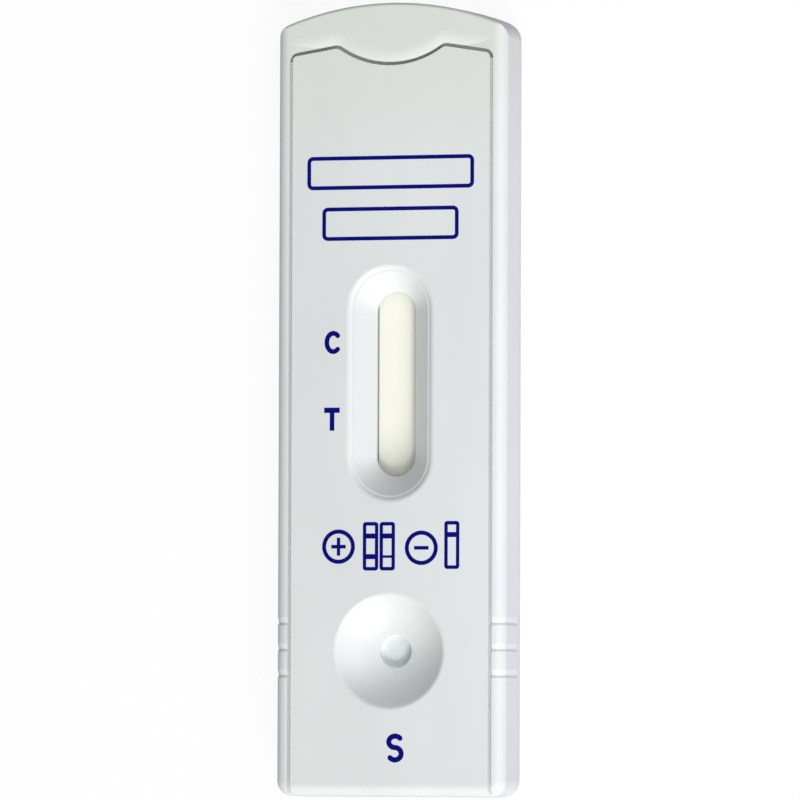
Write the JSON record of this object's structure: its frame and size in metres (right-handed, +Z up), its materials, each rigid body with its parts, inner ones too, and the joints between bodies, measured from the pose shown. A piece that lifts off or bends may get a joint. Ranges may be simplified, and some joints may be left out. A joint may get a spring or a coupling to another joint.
{
  "type": "lateral flow cassette",
  "caption": "Flat white test cassette: a snap-together housing with a sample well and a read window over a layered paper test strip.",
  "frame": {"origin": "centre of the underside, on the table", "axes": "+X across the width, +Y along the length towards the arched end, +Z up out of the top face"},
  "size_m": [0.0212, 0.07, 0.0052],
  "materials": {
    "housing": "satin moulded white",
    "backing_film": "matt film",
    "membrane": "fine porous sheet",
    "conjugate_fibre": "dyed glass fibre mat",
    "sample_fibre": "cellulose mat",
    "absorbent_paper": "thick blotting paper",
    "print_ink": "dark blue pad-printed ink"
  },
  "bodies": {
    "root": {"top_shell": "housing", "bottom_shell": "housing", "backing_card": "backing_film", "membrane": "membrane", "conjugate_pad": "conjugate_fibre", "sample_pad": "sample_fibre", "absorbent_pad": "absorbent_paper"}
  },
  "joints": []
}
